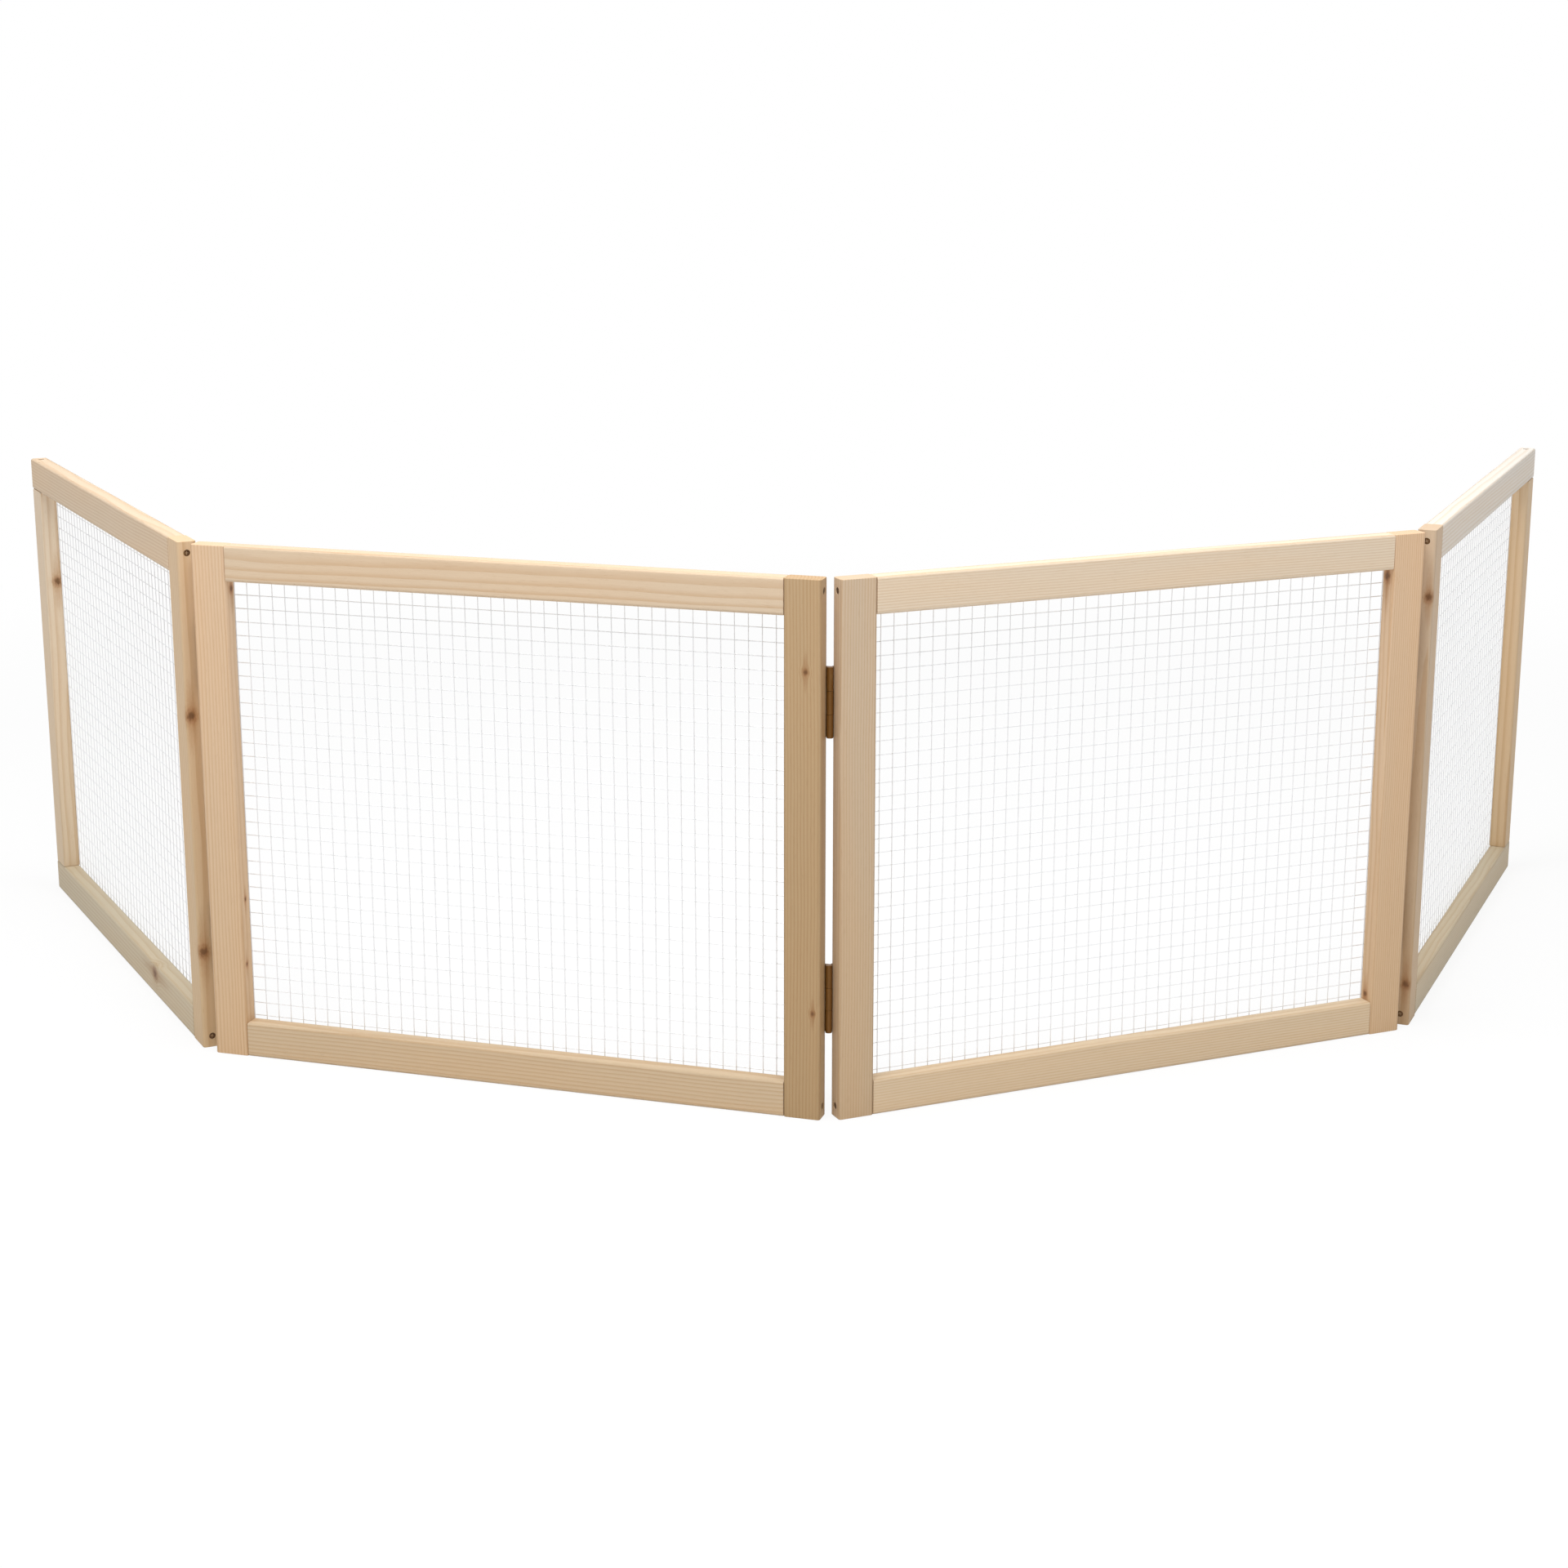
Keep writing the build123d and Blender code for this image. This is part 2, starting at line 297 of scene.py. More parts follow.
class Finish:
    """The nodes of one material, or of the sky."""

    def __init__(self, owner):
        owner.use_nodes = True
        self.owner = owner
        self.tree = owner.node_tree
        self.tree.nodes.clear()

    def node(self, kind, settings=None, output=None, values=(), **inputs):
        """Adds a node and gives one of its outputs, the first if none is named.

        Its settings are set first, then its sockets, in order from `values` or by name from `inputs`."""
        node = self.tree.nodes.new(f"ShaderNode{kind}")
        for name, value in (settings or {}).items():
            setattr(node, name, value)
        for socket, value in zip(node.inputs, values):
            connect(socket, value)
        enabled = {socket.name.replace(" ", "_"): socket for socket in node.inputs if socket.enabled}
        for name, value in inputs.items():
            connect(enabled[name], value)
        if output:
            return Signal(node.outputs[output])
        return next((Signal(socket) for socket in node.outputs if socket.enabled), None)

    def attribute(self, name, output="Vector"):
        return self.node("Attribute", {"attribute_name": name}, output)

    def parts(self, vector):
        """The X, Y and Z of a vector."""
        return [self.node("SeparateXYZ", output=axis, Vector=vector) for axis in "XYZ"]

    def vector(self, operation, *values):
        shown = "Value" if operation == "LENGTH" else "Vector"
        return self.node("VectorMath", {"operation": operation}, shown, values)

    def noise(self, vector, stretch, detail=2.0, roughness=0.5):
        """Noise from 0 to 1 with so many waves per metre along X, Y and Z."""
        return self.node(
            "TexNoise",
            output="Fac",
            Vector=self.vector("MULTIPLY", vector, stretch),
            Scale=1.0,
            Detail=detail,
            Roughness=roughness,
        )

    def ease(self, value, low, high):
        """0 below `low`, 1 above `high`, with a smooth change between."""
        settings = {"interpolation_type": "SMOOTHSTEP"}
        return self.node("MapRange", settings, Value=value, From_Min=low, From_Max=high)

    def mix(self, factor, first, second):
        """A change from one colour to another."""
        settings = {"data_type": "RGBA", "blend_type": "MIX"}
        return self.node("Mix", settings, Factor=factor, A=first, B=second)

    def stain(self, factor, colour, tone):
        """The colour multiplied by a tone, as far as the factor says."""
        settings = {"data_type": "RGBA", "blend_type": "MULTIPLY"}
        return self.node("Mix", settings, Factor=factor, A=colour, B=tone)

    def bump(self, height, strength, distance):
        return self.node("Bump", Height=height, Strength=strength, Distance=distance)

    def surface(self, **inputs):
        """Ends the material in one Principled shader."""
        shader = self.node("BsdfPrincipled", **inputs)
        self.node("OutputMaterial", Surface=shader)
        return self.owner


class TimberSettings(bpy.types.PropertyGroup):
    arris_radius: FloatProperty(
        name="Arris radius", description="Rounding of a board's long edges", default=0.0025, unit="LENGTH"
    )
    end_easing: FloatProperty(
        name="End easing", description="Sanding of the edges of a board's ends", default=0.0007, unit="LENGTH"
    )
    ring_spacing: FloatProperty(
        name="Ring spacing", description="Width of one year's growth", default=0.0031, unit="LENGTH"
    )
    latewood_tone: FloatVectorProperty(
        name="Latewood tone",
        description="What the dark line of a growth ring does to the wood's tone",
        default=(0.76, 0.60, 0.42),
        subtype="COLOR",
    )
    # Painted light and shade: the foot tone darkens each board towards the ground and the top tone lightens
    # it towards the top of its panel, standing in for how the light falls.
    foot_tone: FloatVectorProperty(
        name="Foot tone",
        description="What handling and damp do to the wood's tone at the ground",
        default=(0.90, 0.885, 0.83),
        subtype="COLOR",
    )
    top_tone: FloatVectorProperty(
        name="Top tone",
        description="What light does to the wood's tone at the top of a panel",
        default=(1.09, 1.12, 1.17),
        subtype="COLOR",
        soft_max=1.5,
    )
    knot_colour: FloatVectorProperty(
        name="Knot colour",
        description="Colour of the middle of a knot",
        default=(0.15, 0.066, 0.022),
        subtype="COLOR",
    )


class MeshSettings(bpy.types.PropertyGroup):
    zinc_colour: FloatVectorProperty(
        name="Zinc colour",
        description="Colour of the galvanised wire",
        default=(0.91, 0.915, 0.92),
        subtype="COLOR",
    )
    staple_colour: FloatVectorProperty(
        name="Staple colour", description="Colour of the staples", default=(0.50, 0.51, 0.52), subtype="COLOR"
    )
    weld_radius: FloatProperty(
        name="Weld radius",
        description="Half the width of the zinc at a crossing",
        default=0.00075,
        unit="LENGTH",
    )
    sheet_bow: FloatProperty(
        name="Sheet bow",
        description="How far the middle of a mesh stands inwards",
        default=0.0012,
        unit="LENGTH",
    )
    stations: IntProperty(name="Stations", description="Points along each wire", default=13)


class HardwareSettings(bpy.types.PropertyGroup):
    bronze_colour: FloatVectorProperty(
        name="Bronze colour",
        description="Colour of the hinges",
        default=(0.205, 0.092, 0.016),
        subtype="COLOR",
    )
    rubbed_colour: FloatVectorProperty(
        name="Rubbed colour",
        description="Colour where the finish is rubbed",
        default=(0.34, 0.20, 0.075),
        subtype="COLOR",
    )
    screw_colour: FloatVectorProperty(
        name="Screw colour",
        description="Colour of the corner screws",
        default=(0.150, 0.085, 0.042),
        subtype="COLOR",
    )


class StageSettings(bpy.types.PropertyGroup):
    camera_reach: FloatVectorProperty(
        name="Camera reach",
        description="From the foot of the centre joint to the camera",
        default=(-0.1746, -2.4115, 0.93685),
        subtype="TRANSLATION",
        unit="LENGTH",
    )
    camera_yaw: FloatProperty(
        name="Camera yaw",
        description="Turn to the right",
        default=radians(3.2),
        subtype="ANGLE",
        unit="ROTATION",
    )
    camera_pitch: FloatProperty(
        name="Camera pitch",
        description="Tilt downwards",
        default=radians(14.6),
        subtype="ANGLE",
        unit="ROTATION",
    )
    focal_length: FloatProperty(
        name="Focal length", description="In millimetres on a 36 mm sensor", default=65.85, unit="CAMERA"
    )
    sky_strength: FloatProperty(name="Sky strength", description="Light from all round", default=0.55)
    key_place: FloatVectorProperty(
        name="Key place",
        description="Where the soft light hangs",
        default=(-0.3, -0.9, 3.2),
        subtype="TRANSLATION",
        unit="LENGTH",
    )
    key_size: FloatProperty(
        name="Key size", description="Width of the soft light's disc", default=2.4, unit="LENGTH"
    )
    key_power: FloatProperty(
        name="Key power", description="Power of the soft light", default=105.0, unit="POWER"
    )
    floor_glow: FloatProperty(
        name="Floor glow",
        description="Share of the floor under the pen that shows as plain white",
        default=0.87,
    )
    clear_reach: FloatProperty(
        name="Clear reach",
        description="How far from the pen's middle the floor is plain white",
        default=2.6,
        unit="LENGTH",
    )
    floor_reach: FloatProperty(
        name="Floor reach",
        description="From the middle of the floor to its sides",
        default=60.0,
        unit="LENGTH",
    )


def new_piece(name, mesh, body, nodes, material):
    """Adds a mesh as a piece of the pen that rides on a body and stands for CAD nodes."""
    piece = bpy.data.objects.new(name, mesh)
    bpy.context.scene.collection.objects.link(piece)
    mesh.materials.clear()
    mesh.materials.append(material)
    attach(piece, body)
    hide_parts(*nodes)
    return piece


def shade(mesh, sharp_from=radians(40)):
    mesh.polygons.foreach_set("use_smooth", [True] * len(mesh.polygons))
    mesh.set_sharp_from_angle(angle=sharp_from)


def mesh_from(shape, name):
    mesh = bpy.data.meshes.new(name)
    shape.to_mesh(mesh)
    shape.free()
    return mesh


def cut(mesh, cutter):
    """The mesh with the cutter's shape taken out of it."""
    block = bpy.data.objects.new("block", mesh)
    tool = bpy.data.objects.new("tool", cutter)
    for item in (block, tool):
        bpy.context.scene.collection.objects.link(item)
    difference = block.modifiers.new("difference", "BOOLEAN")
    difference.object = tool
    difference.solver = "EXACT"
    cut_block = block.evaluated_get(bpy.context.evaluated_depsgraph_get())
    result = bpy.data.meshes.new_from_object(cut_block)
    for item in (block, tool):
        bpy.data.objects.remove(item)
    return result


def copies(template, places):
    """One shape that holds the template at each place."""
    shape = bmesh.new()
    for place in places:
        start = len(shape.verts)
        shape.from_mesh(template)
        shape.verts.ensure_lookup_table()
        bmesh.ops.transform(shape, matrix=place, verts=shape.verts[start:])
    return shape


def wires(paths, radius, name):
    """Round wires along lists of points, closed at both ends."""
    curve = bpy.data.curves.new(name, "CURVE")
    curve.dimensions = "3D"
    curve.bevel_depth = radius
    curve.bevel_resolution = 1
    curve.use_fill_caps = True
    for path in paths:
        spline = curve.splines.new("POLY")
        spline.points.add(len(path) - 1)
        spline.points.foreach_set("co", [value for point in path for value in (*point, 1.0)])
    drawn = bpy.data.objects.new(name, curve)
    bpy.context.scene.collection.objects.link(drawn)
    mesh = bpy.data.meshes.new_from_object(drawn.evaluated_get(bpy.context.evaluated_depsgraph_get()))
    bpy.data.objects.remove(drawn)
    bpy.data.curves.remove(curve)
    shade(mesh)
    return mesh


def planed_pine(timber):
    """Flat-sawn pine: growth rings round a pith outside the board, fine fibres and a few knots.

    Each board's mesh carries its own grain axes, pith, tone, knots and height as attributes."""
    wood = Finish(bpy.data.materials.new("planed_pine"))
    grain = wood.attribute("grain")
    place = wood.vector("ADD", grain, wood.attribute("seed"))
    _, across, through = wood.parts(grain)
    pith_across, pith_through, spacing = wood.parts(wood.attribute("pith"))
    knot_sizes = wood.parts(wood.attribute("knot_sizes"))

    near_knot = knot_core = knot_halo = knot_streak = 0.0
    pull = across
    ragged = (wood.noise(place, (260.0, 520.0, 520.0), detail=4.0, roughness=0.6) - 0.5) * 1.3
    streaks = wood.noise(place, (14.0, 700.0, 700.0), detail=3.0)
    for name, size in zip(KNOT_LAYERS, knot_sizes):
        offset = wood.vector("SUBTRACT", grain, wood.attribute(name))
        sideways = wood.node("SeparateXYZ", output="Y", Vector=offset)
        radius = size + SMALLEST_KNOT
        distance = wood.vector("LENGTH", wood.vector("MULTIPLY", offset, (0.85, 1.0, 1.0))) / radius + ragged
        flow = wood.vector("LENGTH", wood.vector("MULTIPLY", offset, (0.13, 0.9, 0.9))) / radius
        closeness = 1 - wood.ease(distance, 0.6, 3.2)
        pull = pull - sideways * closeness * 0.8
        near_knot = closeness + near_knot
        knot_core = (1 - wood.ease(distance, 0.30, 1.05)) + knot_core
        knot_halo = (1 - wood.ease(distance, 0.7, 1.9)) + knot_halo
        knot_streak = (1 - wood.ease(flow + ragged * 0.4, 0.25, 1.35)) * (0.45 + streaks) + knot_streak

    wander = (wood.noise(place, (2.2, 0.0, 0.0)) - 0.5) * 0.008
    drift = (wood.noise(place, (3.1, 0.0, 2.0)) - 0.5) * 0.006
    ripple = (wood.noise(place, (9.0, 60.0, 60.0), detail=3.0) - 0.5) * 0.0018
    from_pith = ((pull - pith_across + wander) ** 2 + (through - pith_through + drift) ** 2) ** 0.5
    ring = ((from_pith + ripple) / spacing).fraction()
    latewood = wood.ease(ring, 0.35, 0.93) * (1 - wood.ease(ring, 0.955, 1.0))
    ring_strength = wood.noise(place, (1.2, 55.0, 55.0))

    fibres = wood.noise(place, (28.0, 1100.0, 1100.0), detail=3.0, roughness=0.65)
    flecks = wood.ease(wood.noise(place, (95.0, 2600.0, 2600.0)), 0.60, 0.74)
    warmth = wood.ease(wood.noise(place, (2.6, 22.0, 22.0)), 0.30, 0.72)

    # Painted light and shade: darker towards the ground and lighter towards the top of each panel, standing
    # in for how the light falls down the pen.
    painted_height_light = wood.mix(wood.attribute("height", "Fac"), timber.foot_tone, timber.top_tone)
    colour = wood.stain(1.0, wood.attribute("tone", "Color"), painted_height_light)
    colour = wood.stain(warmth * 0.5, colour, WARM_PATCH)
    colour = wood.stain(latewood * (0.15 + ring_strength * 0.55), colour, timber.latewood_tone)
    colour = wood.stain(fibres * 0.55, colour, FIBRE)
    colour = wood.stain(flecks * 0.35, colour, RESIN_FLECK)
    colour = wood.stain(near_knot * 0.35, colour, KNOT_SURROUND)
    colour = wood.stain(knot_streak * 0.55, colour, KNOT_STREAK)
    colour = wood.stain(knot_halo * 0.5, colour, KNOT_HALO)
    colour = wood.mix(knot_core * (0.65 + streaks * 0.4), colour, timber.knot_colour)

    relief = fibres * 0.6 + latewood * 0.25 + flecks * -0.5
    return wood.surface(
        Base_Color=colour,
        Roughness=0.50 + fibres * 0.18 - latewood * 0.06,
        Normal=wood.bump(relief, 0.35, 0.00022),
        Specular_IOR_Level=0.35,
    )


def galvanised(name, colour, roughness):
    """Zinc on steel wire: pale grey metal with soft cloudy patches and a few dull runs."""
    zinc = Finish(bpy.data.materials.new(name))
    place = zinc.node("TexCoord", output="Object")
    clouds = zinc.noise(place, (240.0, 240.0, 240.0), detail=3.0)
    runs = zinc.ease(zinc.noise(place, (75.0, 75.0, 75.0)), 0.55, 0.75)
    tone = zinc.stain(clouds * 0.6, colour, ZINC_CLOUD)
    tone = zinc.stain(runs * 0.3, tone, ZINC_RUN)
    return zinc.surface(
        Base_Color=tone,
        Metallic=0.45 - runs * 0.2,
        Roughness=roughness + clouds * 0.16 + runs * 0.1,
        Normal=zinc.bump(clouds, 0.25, 0.00008),
    )


def bronzed(name, colour, rubbed, roughness):
    """Brown-bronzed steel: a mottled dark film, rubbed lighter in small patches."""
    film = Finish(bpy.data.materials.new(name))
    place = film.node("TexCoord", output="Object")
    mottle = film.noise(place, (420.0, 420.0, 420.0), detail=4.0, roughness=0.6)
    wear = film.ease(film.noise(place, (130.0, 130.0, 60.0), detail=3.0), 0.52, 0.78)
    tone = film.stain(mottle * 0.6, colour, BRONZE_MOTTLE)
    tone = film.mix(wear * 0.55, tone, rubbed)
    return film.surface(
        Base_Color=tone,
        Metallic=0.20 + wear * 0.4,
        Roughness=roughness + mottle * 0.18 - wear * 0.08,
        Normal=film.bump(mottle, 0.2, 0.00006),
        Coat_Weight=0.06 - wear * 0.05,
        Coat_Roughness=0.35,
        Specular_IOR_Level=0.25,
    )


def board_places(panel):
    """Each board of a panel: its node, length, width and place, and its screw wells as (along, side)."""
    free_side = FREE_SIDES[panel]
    stile_axes = Matrix(((0, 1, 0, 0), (0, 0, 1, 0), (1, 0, 0, 0), (0, 0, 0, 1)))
    rail_axes = Matrix(((1, 0, 0, 0), (0, 0, -1, 0), (0, 1, 0, 0), (0, 0, 0, 1)))
    boards = []
    for side, direction in (("left", -1), ("right", 1)):
        is_free = side == free_side
        length = OPENING_HEIGHT if is_free else PANEL_HEIGHT
        x = STILE_WIDTH / 2 if side == "left" else PANEL_WIDTH - STILE_WIDTH / 2
        place = Matrix.Translation((x, FRAME_THICKNESS / 2, PANEL_HEIGHT / 2)) @ stile_axes
        reach = length / 2 - CORNER_SCREW_INSET
        wells = [] if is_free else [(-reach, direction), (reach, direction)]
        boards.append((f"{panel}_{STILE_TITLES[panel][side]}", length, STILE_WIDTH, place, wells))
    start = 0.0 if free_side == "left" else STILE_WIDTH
    end = PANEL_WIDTH if free_side == "right" else PANEL_WIDTH - STILE_WIDTH
    reach = (end - start) / 2 - CORNER_SCREW_INSET
    well_ends = {"left": -reach, "right": reach}
    for level, direction in (("bottom", -1), ("top", 1)):
        z = RAIL_HEIGHT / 2 if level == "bottom" else PANEL_HEIGHT - RAIL_HEIGHT / 2
        place = Matrix.Translation(((start + end) / 2, FRAME_THICKNESS / 2, z)) @ rail_axes
        wells = [(well_ends[free_side], direction)] if free_side else []
        boards.append((f"{panel}_{level}_rail", end - start, RAIL_HEIGHT, place, wells))
    return boards


def planed_board(name, length, width, timber):
    """A board with rounded long edges and lightly sanded ends, its middle on the origin."""
    shape = bmesh.new()
    bmesh.ops.create_cube(shape, size=1.0, matrix=Matrix.Diagonal((length, width, FRAME_THICKNESS, 1.0)))
    long_edges = [edge for edge in shape.edges if edge.calc_length() > length * 0.99]
    bmesh.ops.bevel(
        shape, geom=long_edges, offset=timber.arris_radius, segments=5, profile=0.5, affect="EDGES"
    )
    almost_end = length * 0.499
    end_edges = [edge for edge in shape.edges if all(abs(vert.co.x) > almost_end for vert in edge.verts)]
    bmesh.ops.bevel(shape, geom=end_edges, offset=timber.end_easing, segments=3, profile=0.5, affect="EDGES")
    return mesh_from(shape, name)


def well_cutter(wells, width, head_radius):
    """The sunk places of a board's screws, a little wider than their heads."""
    shape = bmesh.new()
    for along, side in wells:
        place = Matrix.Translation((along, side * width / 2, 0.0)) @ Matrix.Rotation(pi / 2, 4, "X")
        bmesh.ops.create_cone(
            shape,
            cap_ends=True,
            segments=WELL_SIDES,
            radius1=head_radius,
            radius2=head_radius,
            depth=2 * WELL_DEPTH,
            matrix=place,
        )
    return mesh_from(shape, "wells")


def write_grain(mesh, node, place, chance, timber):
    """Writes a board's own axes, pith, tone and knots into its mesh, and how high each point stands."""
    count = len(mesh.vertices)
    knots = (*KNOTS.get(node, ()), *[NO_KNOT] * len(KNOT_LAYERS))[: len(KNOT_LAYERS)]
    pith_across = chance.choice((-1, 1)) * chance.uniform(*PITH_ACROSS)
    pith_through = chance.choice((-1, 1)) * chance.uniform(*PITH_THROUGH)
    facts = {
        "seed": [chance.uniform(*GRAIN_SHIFT) for _ in range(3)],
        "pith": (pith_across, pith_through, timber.ring_spacing * chance.uniform(*RING_SPREAD)),
        "tone": BOARD_TONES[node],
        "knot_sizes": [knot[3] for knot in knots],
    }
    facts.update({name: knot[:3] for name, knot in zip(KNOT_LAYERS, knots)})
    layer = mesh.attributes.new("grain", "FLOAT_VECTOR", "POINT")
    layer.data.foreach_set("vector", [value for vertex in mesh.vertices for value in vertex.co])
    for name, fact in facts.items():
        layer = mesh.attributes.new(name, "FLOAT_VECTOR", "POINT")
        layer.data.foreach_set("vector", list(fact) * count)
    layer = mesh.attributes.new("height", "FLOAT", "POINT")
    layer.data.foreach_set("value", [(place @ vertex.co).z / PANEL_HEIGHT for vertex in mesh.vertices])


class PEN_OT_boards(bpy.types.Operator):
    """Adds the stiles and rails of the four frames"""

    bl_idname = "pen.boards"
    bl_label = "Stiles and Rails"

    def execute(self, context):
        timber = context.scene.pen_timber
        pine = planed_pine(timber)
        chance = Random(BOARD_SEED)
        for panel, panel_place in panel_places.items():
            for node, length, width, place, wells in board_places(panel):
                mesh = planed_board(node, length, width, timber)
                if wells:
                    mesh = cut(mesh, well_cutter(wells, width, CORNER_SCREW.head_radius))
                write_grain(mesh, node, place, chance, timber)
                mesh.transform(panel_place @ place)
                shade(mesh)
                piece = new_piece(f"{node}_board", mesh, f"{panel}_panel", [node], pine)
                normals = piece.modifiers.new("flat faces stay flat", "WEIGHTED_NORMAL")
                normals.keep_sharp = True
        return {"FINISHED"}


def wire_offsets(opening, lap):
    """Wire places along one direction, from the middle of an opening, at the mesh's pitch."""
    count = floor((opening + 2 * lap) / MESH_PITCH) + 1
    return [(index - (count - 1) / 2) * MESH_PITCH for index in range(count)]


leaf_cover = LEAF_REACH - FRAME_GAP / 2
mesh_lap = STILE_WIDTH - leaf_cover - max(WIRE_OVERHANG, STAPLE_WIDTH / 2) - MESH_MARGIN
uprights = [PANEL_WIDTH / 2 + offset for offset in wire_offsets(OPENING_WIDTH, mesh_lap)]
crosses = [PANEL_HEIGHT / 2 + offset for offset in wire_offsets(OPENING_HEIGHT, mesh_lap)]


def bow(x, z, fullness):
    """How far the mesh stands inwards of flat at a place in a panel."""
    u = (x - STILE_WIDTH) / OPENING_WIDTH
    v = (z - RAIL_HEIGHT) / OPENING_HEIGHT
    inside = 0.0 < u < 1.0 and 0.0 < v < 1.0
    if not inside:
        return 0.0
    wave = 1.0 + SHEET_WAVE * sin(WAVES_ALONG * pi * u) * sin(WAVES_UP * pi * v)
    return fullness * sin(pi * u) * sin(pi * v) * wave


def stations(start, end, count):
    return [start + (end - start) * index / (count - 1) for index in range(count)]


def welded_mesh(settings, fullness):
    """The upright wires of one panel, and its cross wires with the zinc that fills their crossings."""
    radius = WIRE_SIZE / 2
    tip = radius + WIRE_OVERHANG
    upright_depth = FRAME_THICKNESS + radius
    cross_depth = FRAME_THICKNESS + 3 * radius
    heights = stations(crosses[0] - tip, crosses[-1] + tip, settings.stations)
    distances = stations(uprights[0] - tip, uprights[-1] + tip, settings.stations)
    upright_paths = [[(x, upright_depth + bow(x, z, fullness), z) for z in heights] for x in uprights]
    cross_paths = [[(x, cross_depth + bow(x, z, fullness), z) for x in distances] for z in crosses]
    contact = FRAME_THICKNESS + WIRE_SIZE
    beads = [(x, contact + bow(x, z, fullness), z) for x in uprights for z in crosses]
    shape = copies(zinc_bead(settings.weld_radius), [Matrix.Translation(spot) for spot in beads])
    shape.from_mesh(wires(cross_paths, radius, "cross wires"))
    return wires(upright_paths, radius, "upright wires"), mesh_from(shape, "cross wires")


def zinc_bead(radius):
    """The small bead of zinc round a crossing of two wires."""
    depth = radius * 0.7
    corners = [(radius, 0, 0), (0, 0, radius), (-radius, 0, 0), (0, 0, -radius)]
    inner_tip, outer_tip = 4, 5
    edges = [(corner, (corner + 1) % 4) for corner in range(4)]
    sides = [(*edge, inner_tip) for edge in edges] + [(*edge[::-1], outer_tip) for edge in edges]
    bead = bpy.data.meshes.new("bead")
    bead.from_pydata([*corners, (0, depth, 0), (0, -depth, 0)], [], sides)
    return bead


class PEN_OT_wire_mesh(bpy.types.Operator):
    """Adds the welded wire mesh of the four panels"""

    bl_idname = "pen.wire_mesh"
    bl_label = "Welded Mesh"

    def execute(self, context):
        settings = context.scene.pen_mesh
        zinc = galvanised("galvanised_wire", settings.zinc_colour, WIRE_ROUGHNESS)
        chance = Random(SHEET_SEED)
        for panel, panel_place in panel_places.items():
            fullness = settings.sheet_bow * chance.uniform(*BOW_SPREAD)
            for kind, mesh in zip(("upright", "cross"), welded_mesh(settings, fullness)):
                shade(mesh, radians(100))
                mesh.transform(panel_place)
                node = f"{panel}_mesh_{kind}_wires"
                new_piece(f"{node}_round", mesh, f"{panel}_panel", [node], zinc)
        return {"FINISHED"}


def nearest(targets, places):
    return [min(places, key=lambda place: abs(place - target)) for target in targets]


def staple_spots():
    """Staples along both rails and both stiles, each over an upright wire and between two cross wires."""
    steps = [index - (STAPLES_PER_SIDE - 1) / 2 for index in range(STAPLES_PER_SIDE)]
    along_rail = nearest([PANEL_WIDTH / 2 + step * STAPLE_SPACING_ON_RAIL for step in steps], uprights)
    between = [(low + high) / 2 for low, high in zip(crosses, crosses[1:])]
    along_stile = nearest([PANEL_HEIGHT / 2 + step * STAPLE_SPACING_ON_STILE for step in steps], between)
    spots = [(x, z) for x in along_rail for z in (between[0], between[-1])]
    return spots + [(x, z) for x in (uprights[0], uprights[-1]) for z in along_stile]


def staple():
    """One staple over two wires, its legs down -Y, with rounded shoulders."""
    radius = WIRE_SIZE / 2
    half = STAPLE_WIDTH / 2 - radius
    crown = WIRE_SIZE + radius
    side = [(half, -STAPLE_DEPTH)]
    for angle in stations(pi / 2, 0.0, STAPLE_SHOULDER_POINTS):
        x = half - STAPLE_SHOULDER * (1 - sin(angle))
        y = crown - STAPLE_SHOULDER * (1 - cos(angle))
        side.append((x, y))
    outline = [(-x, y) for x, y in side] + side[::-1]
    return wires([[(x, y, 0.0) for x, y in outline]], radius, "staple")


class PEN_OT_staples(bpy.types.Operator):
    """Adds the staples that hold the mesh"""

    bl_idname = "pen.staples"
    bl_label = "Staples"

    def execute(self, context):
        colour = context.scene.pen_mesh.staple_colour
        zinc = galvanised("galvanised_staple", colour, STAPLE_ROUGHNESS)
        template = staple()
        chance = Random(STAPLE_SEED)
        for panel, panel_place in panel_places.items():
            places = []
            for x, z in staple_spots():
                lean = radians(chance.uniform(-STAPLE_LEAN_DEGREES, STAPLE_LEAN_DEGREES))
                spot = Matrix.Translation((x, FRAME_THICKNESS, z))
                places.append(panel_place @ spot @ Matrix.Rotation(lean, 4, "Y"))
            node = f"{panel}_mesh_staples"
            mesh = mesh_from(copies(template, places), node)
            shade(mesh)
            new_piece(f"{node}_round", mesh, f"{panel}_panel", [node], zinc)
        return {"FINISHED"}


class PEN_OT_hinges(bpy.types.Operator):
    """Gives the hinge leaves and pins their bronzed finish"""

    bl_idname = "pen.hinges"
    bl_label = "Hinges"

    def execute(self, context):
        hardware = context.scene.pen_hardware
        colours = (hardware.bronze_colour, hardware.rubbed_colour)
        finishes = {
            "leaf": bronzed("bronzed_hinge", *colours, LEAF_ROUGHNESS),
            "pin": bronzed("bronzed_pin", *colours, PIN_ROUGHNESS),
        }
        for name, node in frame["nodes"].items():
            ending = name.rsplit("_", 1)[-1]
            if ending in finishes:
                node.data.materials.clear()
                node.data.materials.append(finishes[ending])
        return {"FINISHED"}


